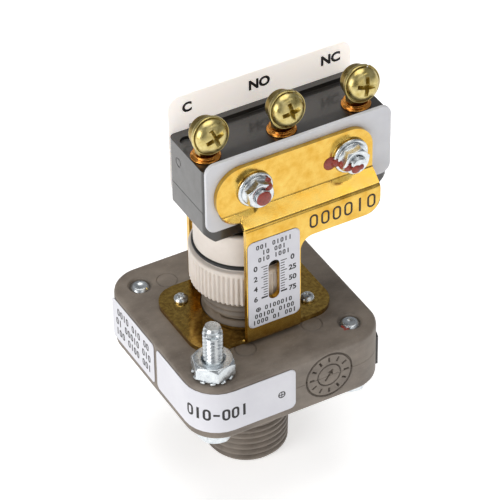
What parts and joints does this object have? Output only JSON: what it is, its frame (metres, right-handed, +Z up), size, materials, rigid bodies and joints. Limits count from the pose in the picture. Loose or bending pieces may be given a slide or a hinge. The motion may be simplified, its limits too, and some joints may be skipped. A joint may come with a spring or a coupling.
{
  "type": "pressure switch",
  "caption": "Open-frame adjustable pressure switch: threaded port on a moulded square body, knurled range knob in a bent bracket, and a snap switch with screw terminals.",
  "frame": {"origin": "centre of the pressure port's end face", "axes": "+Z up along the port, hub and knob; +X along the snap switch from its common terminal; -Y is the scale side"},
  "size_m": [0.0603, 0.0512, 0.1053],
  "materials": {
    "body_plastic": "glass-filled, moulded, matt",
    "diaphragm_rubber": "smooth",
    "zinc_steel": "bright zinc plated",
    "yellow_zinc": "yellow chromate over zinc, glossy",
    "spring_steel": "drawn wire",
    "piston_alloy": "turned",
    "knob_plastic": "cream, satin",
    "ring_rubber": "smooth",
    "switch_plastic": "phenolic, satin",
    "plunger_plastic": "moulded",
    "contact_metal": "silver alloy",
    "blade_metal": "rolled copper alloy",
    "terminal_brass": "bright",
    "white_sheet": "white insulating sheet",
    "marking_sheet": "translucent off-white sheet",
    "label_paper": "white printed label",
    "pad_plastic": "dark"
  },
  "bodies": {
    "switch_body": {"lower_body": "body_plastic", "upper_body": "body_plastic", "diaphragm": "diaphragm_rubber", "body_screws": "zinc_steel", "ground_stud": "zinc_steel", "mounting_bracket": "yellow_zinc", "bracket_screws": "zinc_steel", "range_spring": "spring_steel", "switch_case": "switch_plastic", "switch_cover": "switch_plastic", "blade_anchor": "terminal_brass", "normally_open_contact": "contact_metal", "normally_closed_contact": "contact_metal", "terminal_common": "terminal_brass", "terminal_normally_open": "terminal_brass", "terminal_normally_closed": "terminal_brass", "front_insulator": "white_sheet", "rear_marking_plate": "marking_sheet", "switch_bolts": "zinc_steel", "bolt_washers": "zinc_steel", "switch_nuts": "zinc_steel", "front_label": "label_paper", "side_label": "label_paper", "rating_pad": "pad_plastic", "scale_label": "label_paper"},
    "piston": {"piston": "piston_alloy", "operating_pin": "zinc_steel"},
    "plunger": {"switch_plunger": "plunger_plastic"},
    "blade": {"snap_blade": "blade_metal", "moving_contact": "contact_metal"},
    "spring_seat": {"thrust_washer": "zinc_steel"},
    "knob": {"adjusting_knob": "knob_plastic", "indicator_ring": "ring_rubber"},
    "ground_washer": {"ground_star_washer": "zinc_steel"},
    "ground_nut": {"ground_nut": "zinc_steel"},
    "clamp_washer_common": {"clamp_washer_common": "terminal_brass"},
    "terminal_screw_common": {"terminal_screw_common": "terminal_brass"},
    "clamp_washer_normally_open": {"clamp_washer_normally_open": "terminal_brass"},
    "terminal_screw_normally_open": {"terminal_screw_normally_open": "terminal_brass"},
    "clamp_washer_normally_closed": {"clamp_washer_normally_closed": "terminal_brass"},
    "terminal_screw_normally_closed": {"terminal_screw_normally_closed": "terminal_brass"}
  },
  "joints": [
    {"name": "piston_lift", "type": "slide", "parent": "switch_body", "child": "piston", "axis": [0, 0, 1], "range_m": [0, 0.0004], "stiffness_N_per_m": 8000, "springref_m": -0.001},
    {"name": "plunger_press", "type": "slide", "parent": "switch_body", "child": "plunger", "axis": [0, 0, 1], "range_m": [0, 0.0004]},
    {"name": "blade_swing", "type": "hinge", "parent": "switch_body", "child": "blade", "pos_m": [-0.009, 0, 0.0779], "axis": [0, -1, 0], "range_deg": [0, 2.6]},
    {"name": "knob_advance", "type": "slide", "parent": "switch_body", "child": "spring_seat", "axis": [0, 0, 1], "range_m": [-0.00794, 0], "deforming": ["range_spring"]},
    {"name": "knob_turn", "type": "hinge", "parent": "spring_seat", "child": "knob", "pos_m": [0, 0, 0.062], "axis": [0, 0, 1], "range_deg": [-1800, 0]},
    {"name": "ground_nut_advance", "type": "slide", "parent": "switch_body", "child": "ground_washer", "axis": [0, 0, 1], "range_m": [0, 0.00634]},
    {"name": "ground_nut_turn", "type": "hinge", "parent": "ground_washer", "child": "ground_nut", "pos_m": [-0.0186, -0.0186, 0.0456], "axis": [0, 0, 1], "range_deg": [0, 2160]},
    {"name": "terminal_screw_common_advance", "type": "slide", "parent": "switch_body", "child": "clamp_washer_common", "axis": [0, -0.9781, 0.2079], "range_m": [-0.0004, 0.00238]},
    {"name": "terminal_screw_common_turn", "type": "hinge", "parent": "clamp_washer_common", "child": "terminal_screw_common", "pos_m": [-0.0108, -0.00528, 0.10064], "axis": [0, -0.9781, 0.2079], "range_deg": [-180, 1080]},
    {"name": "terminal_screw_normally_open_advance", "type": "slide", "parent": "switch_body", "child": "clamp_washer_normally_open", "axis": [0, -0.9781, 0.2079], "range_m": [-0.0004, 0.00238]},
    {"name": "terminal_screw_normally_open_turn", "type": "hinge", "parent": "clamp_washer_normally_open", "child": "terminal_screw_normally_open", "pos_m": [0.0092, -0.00528, 0.10064], "axis": [0, -0.9781, 0.2079], "range_deg": [-180, 1080]},
    {"name": "terminal_screw_normally_closed_advance", "type": "slide", "parent": "switch_body", "child": "clamp_washer_normally_closed", "axis": [0, -0.9781, 0.2079], "range_m": [-0.0004, 0.00238]},
    {"name": "terminal_screw_normally_closed_turn", "type": "hinge", "parent": "clamp_washer_normally_closed", "child": "terminal_screw_normally_closed", "pos_m": [0.0292, -0.00528, 0.10064], "axis": [0, -0.9781, 0.2079], "range_deg": [-180, 1080]}
  ],
  "couplings": [
    {"joint": "plunger_press", "follows": "piston_lift", "ratio": 1},
    {"joint": "blade_swing", "follows": "piston_lift", "rad_per_m": 111.26},
    {"joint": "knob_advance", "follows": "knob_turn", "m_per_rad": 0.00025266},
    {"joint": "ground_nut_turn", "follows": "ground_nut_advance", "rad_per_m": 5936.9},
    {"joint": "terminal_screw_common_turn", "follows": "terminal_screw_common_advance", "rad_per_m": 7915.8},
    {"joint": "terminal_screw_normally_open_turn", "follows": "terminal_screw_normally_open_advance", "rad_per_m": 7915.8},
    {"joint": "terminal_screw_normally_closed_turn", "follows": "terminal_screw_normally_closed_advance", "rad_per_m": 7915.8}
  ]
}
